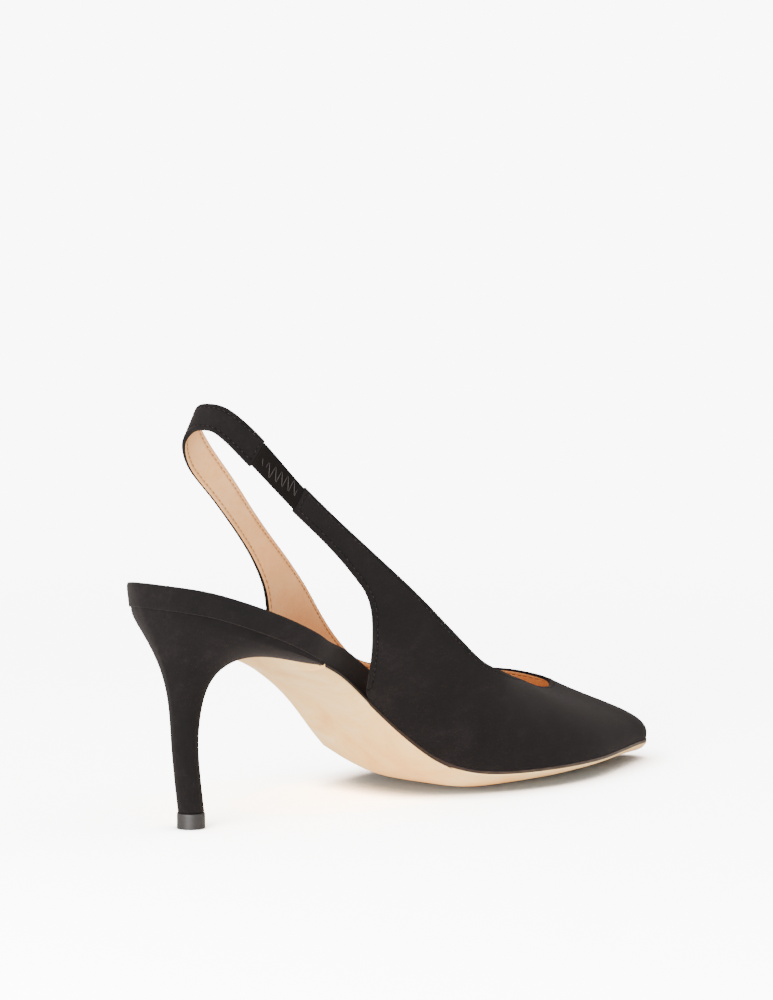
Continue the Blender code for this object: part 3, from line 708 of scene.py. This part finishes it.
def zigzag(elastic, thread):
    """Zigzag stitch down the middle of the elastic."""
    skin = BVHTree.FromObject(elastic, bpy.context.evaluated_depsgraph_get())
    low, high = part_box("elastic")
    corners = [vert.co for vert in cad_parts["elastic"].data.vertices]
    behind = [corner for corner in corners if corner.x < low.x + ELASTIC_END]
    before = [corner for corner in corners if corner.x > high.x - ELASTIC_END]
    rear, front = sum(behind, Vector()) / len(behind), sum(before, Vector()) / len(before)
    out = Vector((0, -1, 0))
    across = (front - rear).normalized().cross(out).normalized()
    spots = []
    for k in range(2 * ZIGZAG_TEETH + 1):
        share = ZIGZAG_MARGIN + (1 - 2 * ZIGZAG_MARGIN) * k / (2 * ZIGZAG_TEETH)
        aside = across * ZIGZAG_WIDTH * (0.5 if k % 2 else -0.5)
        spot, up = skin.ray_cast(rear.lerp(front, share) + aside + out * RAY_START, -out, RAY_LENGTH)[:2]
        if spot is not None:
            spots.append((spot + up * THREAD_RADIUS * ZIGZAG_RISE, up))
    made = bmesh.new()
    for (a, up), (b, _) in zip(spots, spots[1:]):
        thread_stitch(made, a, b, up)
    piece = dress(made, "zigzag_stitching", None, (thread,), 0)


# Studio

def place_camera():
    """Camera at the photograph's angles, shifted so that the heel's tip stands on its pixel."""
    turn, tilt = math.radians(CAMERA_AZIMUTH), math.radians(CAMERA_ELEVATION)
    forward = Vector((math.sin(turn) * math.cos(tilt), math.cos(turn) * math.cos(tilt), -math.sin(tilt)))
    right = Vector((math.cos(turn), -math.sin(turn), 0.0))
    up = right.cross(forward)
    low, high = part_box("top_piece")
    tip = Vector(((low.x + high.x) / 2, (low.y + high.y) / 2, 0.0))
    aside = (HEEL_TIP_PX[0] - IMAGE_WIDTH / 2) / FOCAL_PX
    above = (IMAGE_HEIGHT / 2 - HEEL_TIP_PX[1]) / FOCAL_PX
    place = tip - CAMERA_DISTANCE * (forward + right * aside + up * above)
    lens = bpy.data.cameras.new("camera")
    lens.sensor_fit = "HORIZONTAL"
    lens.sensor_width = SENSOR
    lens.lens = FOCAL_PX * SENSOR / IMAGE_WIDTH
    camera = link("camera", lens)
    camera.matrix_world = Matrix.Translation(place) @ Matrix((right, up, -forward)).transposed().to_4x4()
    bpy.context.scene.camera = camera


def softbox(name, place, size, power, target):
    lamp = bpy.data.lights.new(name, "AREA")
    lamp.shape = "RECTANGLE"
    lamp.size, lamp.size_y = size
    lamp.energy = power
    box = link(name, lamp)
    box.location = place
    box.rotation_euler = (Vector(target) - Vector(place)).to_track_quat("-Z", "Y").to_euler()


def pale_floor():
    """Round floor that fades into the backdrop's colour away from the shoe."""
    material, tree, place = new_material("pale_paper")
    nearer = add(tree, "ShaderNodeMapping", {"Vector": place, "Scale": [FLOOR_SCALE] * 3}).outputs["Vector"]
    ball = add(tree, "ShaderNodeTexGradient", {"Vector": nearer}, gradient_type="SPHERICAL").outputs["Fac"]
    seen = add(tree, "ShaderNodeLightPath").outputs["Is Camera Ray"]
    open_sky = add(tree, "ShaderNodeAmbientOcclusion", {"Distance": SHADE_REACH}, samples=8).outputs["AO"]
    lit = [PAPER * FLOOR_BOOST] * 3 + [1.0]
    paper_seen = blend(tree, spread(tree, open_sky, 0.25, 0.95, kind="SMOOTHSTEP"), SHADE_COLOUR, lit)
    paper = add(tree, "ShaderNodeBsdfDiffuse", {
        "Color": blend(tree, seen, [FLOOR_GLOW] * 3 + [1.0], paper_seen),
    })
    both = add(tree, "ShaderNodeMixShader", {
        0: spread(tree, ball, 0.1, 0.6),
        1: add(tree, "ShaderNodeBsdfTransparent").outputs["BSDF"],
        2: paper.outputs["BSDF"],
    })
    add(tree, "ShaderNodeOutputMaterial", {"Surface": both.outputs["Shader"]})
    made = bmesh.new()
    bmesh.ops.create_circle(made, cap_ends=True, segments=96, radius=FLOOR_RADIUS)
    floor = link("floor", mesh_of(made, "floor", material))


def backdrop_light():
    world = bpy.data.worlds.new("studio")
    world.use_nodes = True
    tree = world.node_tree
    tree.nodes.clear()
    seen = add(tree, "ShaderNodeLightPath").outputs["Is Camera Ray"]
    light = add(tree, "ShaderNodeBackground", {
        "Color": linear("#ffffff"),
        "Strength": spread(tree, seen, 0.0, 1.0, SKY, BACKDROP),
    })
    add(tree, "ShaderNodeOutputWorld", {"Surface": light.outputs["Background"]})
    bpy.context.scene.world = world


def main():
    tip_low, tip_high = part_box("top_piece")
    suede = goat_suede("black_kid_suede", "#0d0b0b", "#131010", "#1f1a1a", sewn=True)
    # the rim's suede is painted a little lighter than the upper's: painted light where the rim faces up to
    # the lamps
    rim_suede = goat_suede("black_kid_suede_rim", "#0e0c0c", "#141111", "#221d1c")
    heel_suede = goat_suede("black_kid_suede_heel", "#0c0a0a", "#120f0f", "#1e1919",
                            seam_y=(tip_low.y + tip_high.y) / 2)
    lining = lining_leather("tan_goat_lining", "#e29d60", "#efb172", "#f6c48b", sewn=True)
    # the sock's leather is painted darker than the lining: painted shade deep inside the shoe
    sock = lining_leather("tan_goat_sock", "#d2935a", "#e3a66d", "#edba82")
    upper, edge_loop = upper_piece(suede, lining)
    elastic = elastic_piece(woven_elastic())
    rim_piece(rim_suede)
    sock_piece(sock, rim_suede)
    plain_piece("suede_heel", "heel", heel_suede, RIM_ROUND, 2)
    plain_piece("rubber_top_piece", "top_piece", heel_rubber(), EDGE_ROUND, 1)
    sole_piece(sole_leather(), edge_ink())
    black_thread = sewing_thread("black_polyester_thread", "#1a1716", "#363130")
    tan_thread = sewing_thread("tan_polyester_thread", "#7d5533", "#a57a50")
    stitch_rows(upper, edge_loop, black_thread, tan_thread)
    zigzag(elastic, sewing_thread("grey_polyester_thread", "#332e2d", "#524b4a"))
    pale_floor()
    backdrop_light()
    for lamp in LAMPS:
        softbox(*lamp)
    place_camera()


main()
